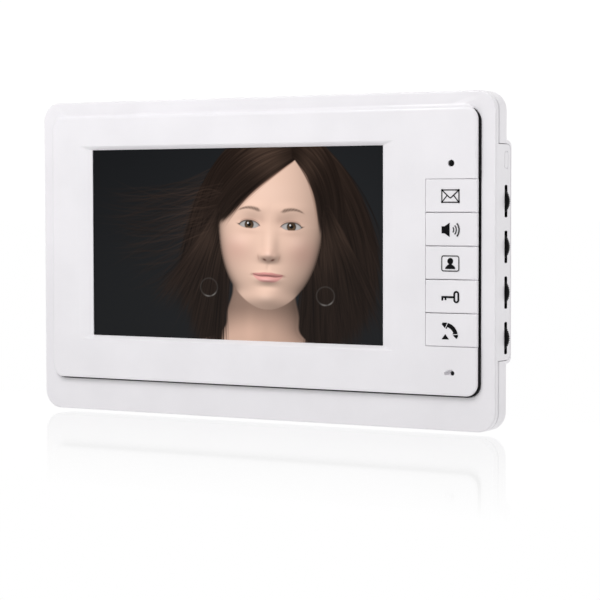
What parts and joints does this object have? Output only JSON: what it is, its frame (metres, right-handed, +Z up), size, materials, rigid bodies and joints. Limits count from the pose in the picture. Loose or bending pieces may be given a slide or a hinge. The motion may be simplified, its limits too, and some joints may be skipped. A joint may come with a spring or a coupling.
{
  "type": "video intercom monitor",
  "caption": "Wall-mounted video intercom monitor: framed LCD screen, column of push keys, edge thumbwheels, built-in speaker, and a hook-on steel wall bracket.",
  "frame": {"origin": "centre of the wall bracket's back face, on the wall", "axes": "+Y into the wall, +X to the right of a viewer facing the screen, +Z up"},
  "size_m": [0.2375, 0.0304, 0.1446],
  "materials": {
    "white_shell": "fine satin moulded ABS",
    "white_key": "fine satin moulded ABS with printed signs",
    "black_rubber": "matt sponge rubber",
    "lamp_black": "polished smoked epoxy",
    "display": "lit picture behind a smooth polariser",
    "backlight_metal": "bright pressed sheet",
    "plated_steel": "zinc plated",
    "screw_steel": "nickel plated",
    "circuit_board": "green solder mask",
    "component_black": "moulded epoxy",
    "connector_white": "moulded nylon",
    "flex_amber": "polyimide film",
    "dial_black": "knurled moulded plastic",
    "ferrite": "sintered ferrite",
    "cone_paper": "treated paper",
    "can_aluminium": "drawn can"
  },
  "bodies": {
    "bracket": {"wall_bracket": "plated_steel"},
    "monitor": {"rear_cover": "white_shell", "front_frame": "white_shell", "fascia_panel": "white_shell", "fascia_gasket": "black_rubber", "microphone_boot": "black_rubber", "speaker_gasket": "black_rubber", "status_led": "lamp_black", "lcd_panel": "display", "lcd_backlight": "backlight_metal", "lcd_bracket": "plated_steel", "speaker_basket": "plated_steel", "driver_board": "circuit_board", "key_board": "circuit_board", "main_board": "circuit_board", "processor_chip": "component_black", "potentiometer_1": "component_black", "potentiometer_2": "component_black", "potentiometer_3": "component_black", "potentiometer_4": "component_black", "tact_switch_1": "component_black", "tact_switch_2": "component_black", "tact_switch_3": "component_black", "tact_switch_4": "component_black", "tact_switch_5": "component_black", "door_connector_1": "connector_white", "door_connector_2": "connector_white", "power_connector": "connector_white", "lcd_flex": "flex_amber", "speaker_magnet": "ferrite", "speaker_cone": "cone_paper", "microphone": "can_aluminium", "filter_capacitor": "can_aluminium", "case_screw_1": "screw_steel", "case_screw_2": "screw_steel", "case_screw_3": "screw_steel", "case_screw_4": "screw_steel", "lcd_screw_1": "screw_steel", "lcd_screw_2": "screw_steel", "lcd_screw_3": "screw_steel", "lcd_screw_4": "screw_steel", "driver_screw_1": "screw_steel", "driver_screw_2": "screw_steel", "key_board_screw_1": "screw_steel", "key_board_screw_2": "screw_steel", "main_board_screw_1": "screw_steel", "main_board_screw_2": "screw_steel", "main_board_screw_3": "screw_steel", "main_board_screw_4": "screw_steel"},
    "key_message": {"key_message": "white_key"},
    "key_volume": {"key_volume": "white_key"},
    "key_monitor": {"key_monitor": "white_key"},
    "key_unlock": {"key_unlock": "white_key"},
    "key_talk": {"key_talk": "white_key"},
    "dial_1": {"thumbwheel_1": "dial_black"},
    "dial_2": {"thumbwheel_2": "dial_black"},
    "dial_3": {"thumbwheel_3": "dial_black"},
    "dial_4": {"thumbwheel_4": "dial_black"}
  },
  "joints": [
    {"name": "lift_off", "type": "slide", "parent": "bracket", "child": "monitor", "axis": [0, 0, 1], "range_m": [0, 0.0066]},
    {"name": "press_message", "type": "slide", "parent": "monitor", "child": "key_message", "axis": [0, 1, 0], "range_m": [0, 0.0006], "stiffness_N_per_m": 80},
    {"name": "press_volume", "type": "slide", "parent": "monitor", "child": "key_volume", "axis": [0, 1, 0], "range_m": [0, 0.0006], "stiffness_N_per_m": 80},
    {"name": "press_monitor", "type": "slide", "parent": "monitor", "child": "key_monitor", "axis": [0, 1, 0], "range_m": [0, 0.0006], "stiffness_N_per_m": 80},
    {"name": "press_unlock", "type": "slide", "parent": "monitor", "child": "key_unlock", "axis": [0, 1, 0], "range_m": [0, 0.0006], "stiffness_N_per_m": 80},
    {"name": "press_talk", "type": "slide", "parent": "monitor", "child": "key_talk", "axis": [0, 1, 0], "range_m": [0, 0.0006], "stiffness_N_per_m": 80},
    {"name": "turn_dial_1", "type": "hinge", "parent": "monitor", "child": "dial_1", "pos_m": [0.1126, -0.0173, 0.02558], "axis": [0, 1, 0], "range_deg": [-130, 130]},
    {"name": "turn_dial_2", "type": "hinge", "parent": "monitor", "child": "dial_2", "pos_m": [0.1126, -0.0173, 0.00622], "axis": [0, 1, 0], "range_deg": [-130, 130]},
    {"name": "turn_dial_3", "type": "hinge", "parent": "monitor", "child": "dial_3", "pos_m": [0.1126, -0.0173, -0.01312], "axis": [0, 1, 0], "range_deg": [-130, 130]},
    {"name": "turn_dial_4", "type": "hinge", "parent": "monitor", "child": "dial_4", "pos_m": [0.1126, -0.0173, -0.03247], "axis": [0, 1, 0], "range_deg": [-130, 130]}
  ]
}
